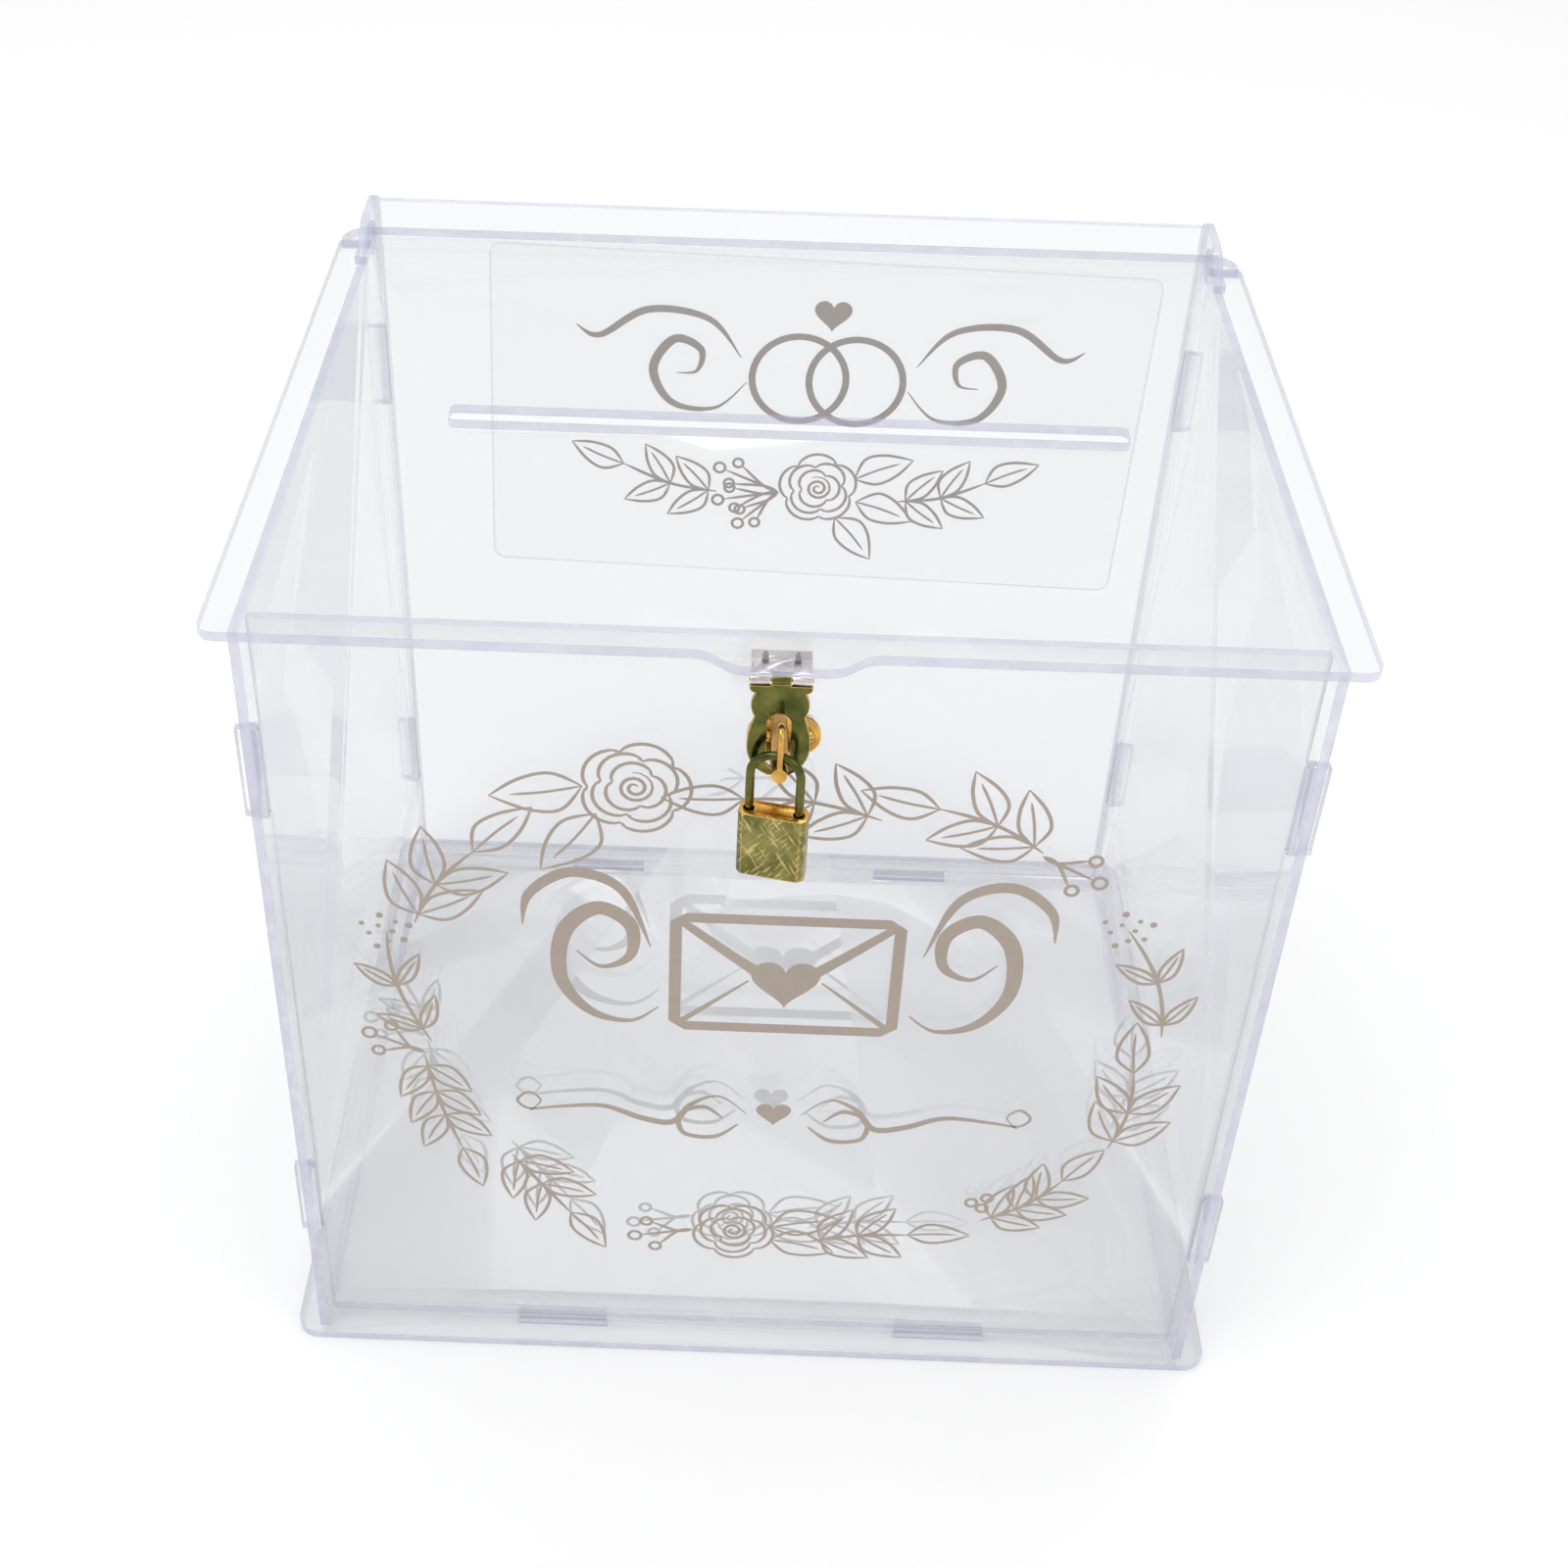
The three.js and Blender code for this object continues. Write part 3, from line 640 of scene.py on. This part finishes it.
def film_rim_highlight(material):
    """A painted highlight: a bright line just inside the film's outline."""
    half_w, half_h = FILM_HALF
    bend = FILM_CORNER - FILM_RIM_HIGHLIGHT_INSET
    outline = []
    for k, (a, b) in enumerate(((1, 1), (-1, 1), (-1, -1), (1, -1))):
        for step in range(7):
            angle = math.radians(90 * k + 15 * step)
            outline.append((a * (half_w - FILM_CORNER) + bend * math.cos(angle),
                            b * (half_h - FILM_CORNER) + bend * math.sin(angle)))
    sheet = film_sheet()
    # Painted highlight: a white strip drawn on the film's face along its rim.
    sheet.stroke(outline, 0.55, closed=True)
    return sheet.finish("film_rim_highlight", "box", material, "clear_film")


def film_print(ink):
    sheet = film_sheet()
    rings_motif(sheet, (3, 17), 2.1)
    film_spray(sheet, (3, -22), FINE_PEN)
    return sheet.finish("film_print", "box", ink, "clear_film")


# ---- stage ---------------------------------------------------------------------------------------
def floor():
    mesh = bmesh.new()
    bmesh.ops.create_grid(mesh, x_segments=8, y_segments=8, size=4.0)
    data = bpy.data.meshes.new("floor")
    mesh.to_mesh(data)
    mesh.free()
    obj = bpy.data.objects.new("floor", data)
    obj.location.z = cad_low_z - FLOOR_GAP
    bpy.context.scene.collection.objects.link(obj)
    assign(obj, floor_material())


def area_light(name, place, target, size, power):
    data = bpy.data.lights.new(name, "AREA")
    data.shape = "RECTANGLE"
    data.size, data.size_y = size
    data.energy = power
    obj = bpy.data.objects.new(name, data)
    obj.location = place
    obj.rotation_euler = (Vector(target) - Vector(place)).to_track_quat("-Z", "Y").to_euler()
    bpy.context.scene.collection.objects.link(obj)


def studio():
    world = bpy.data.worlds.new("studio")
    world.use_nodes = True
    world.node_tree.nodes["Background"].inputs["Color"].default_value = (1, 1, 1, 1)
    world.node_tree.nodes["Background"].inputs["Strength"].default_value = 0.8
    bpy.context.scene.world = world
    middle = (0, 0, 0.12)
    area_light("key", (-0.6, -0.3, 1.6), middle, (1.2, 0.9), 7)
    area_light("fill", (1.1, -0.6, 0.9), middle, (0.8, 0.8), 2.5)
    area_light("back", (0.3, 0.9, 2.0), middle, (1.0, 0.6), 5)
    scene = bpy.context.scene
    scene.view_settings.view_transform = "Standard"
    scene.cycles.transparent_max_bounces = 40


def camera():
    """The photograph's view: about 38 degrees down, from in front and a touch to the left."""
    yaw, pitch, roll = (math.radians(a) for a in (0.788, -38.377, 1.608))
    forward = Vector((-math.sin(yaw) * math.cos(pitch), math.cos(yaw) * math.cos(pitch), math.sin(pitch)))
    level = Vector((math.cos(yaw), math.sin(yaw), 0))
    above = level.cross(forward)
    right = level * math.cos(roll) + above * math.sin(roll)
    up = above * math.cos(roll) - level * math.sin(roll)
    data = bpy.data.cameras.new("camera")
    data.sensor_width = 36
    data.lens = 50.72
    data.shift_x = 0.0502
    obj = bpy.data.objects.new("camera", data)
    turn = Matrix((right, up, -forward)).transposed().to_4x4()
    obj.matrix_world = Matrix.Translation((-0.0115, -0.4945, 0.5091)) @ turn
    bpy.context.scene.collection.objects.link(obj)
    bpy.context.scene.camera = obj


# ---- build ---------------------------------------------------------------------------------------
def build():
    clear = {axis: acrylic("clear_acrylic_" + axis, axis) for axis in "XYZ"}
    lid_sheet = acrylic("clear_acrylic_lid", "Z", 0.006, 0.014, 0.2)
    for node, axis in PANELS.items():
        is_lid = node == "lid_panel"
        material = lid_sheet if is_lid else clear[axis]
        dressed(node, "lid" if is_lid else "box", material, 0.2 * MM, 50)
    assign(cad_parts["back_decal_film"], film_material())

    # gold: the colour painted along the brass edges, partly rubbed plating and partly a painted highlight.
    gold = rgba(0.95, 0.62, 0.20)
    aged = brass("aged_brass", rgba(0.06, 0.07, 0.018), rgba(0.17, 0.165, 0.045), 0.20, gold)
    bright = brass("bright_brass", rgba(0.36, 0.19, 0.04), rgba(0.78, 0.46, 0.12), 0.16, gold)
    # The hasp leaf's edges are painted pure white: a painted highlight.
    plate = brass("pale_plate", rgba(0.42, 0.35, 0.35), rgba(0.84, 0.78, 0.76), 0.12, rgba(1, 1, 1))
    case = brushed_case(gold)
    steel = zinc()
    metal = {
        "hasp_lid_leaf": ("lid", plate, 0.08), "hasp_screw_left": ("lid", aged, 0.04),
        "hasp_screw_right": ("lid", aged, 0.04), "hasp_hinge_pin": ("lid", aged, 0.03),
        "hasp_strap": ("strap", aged, 0.1), "hasp_staple": ("box", bright, 0.08),
        "staple_screw_left": ("box", bright, 0.05), "staple_screw_right": ("box", bright, 0.05),
        "padlock_shackle": ("shackle", aged, 0.08), "padlock_body": ("lock_case", case, 0.25),
        "lock_cylinder": ("cylinder", bright, 0.08),
    }
    for node, (body, material, bevel) in metal.items():
        dressed(node, body, material, bevel * MM, 40)
    for node, body in (("staple_nut_left", "box"), ("staple_nut_right", "box"), ("latch_bolt", "bolt")):
        dressed(node, body, steel, 0.08 * MM, 40)

    front_print(ink_material("front_ink", rgba(0.34, 0.28, 0.235), rgba(0.44, 0.37, 0.315)))
    film_rim_highlight(film_rim_highlight_material())
    film_print(ink_material("film_ink", rgba(0.22, 0.175, 0.14), rgba(0.30, 0.245, 0.20)))


cad_low_z = min(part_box(node)[0].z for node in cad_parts)
build()
floor()
studio()
camera()
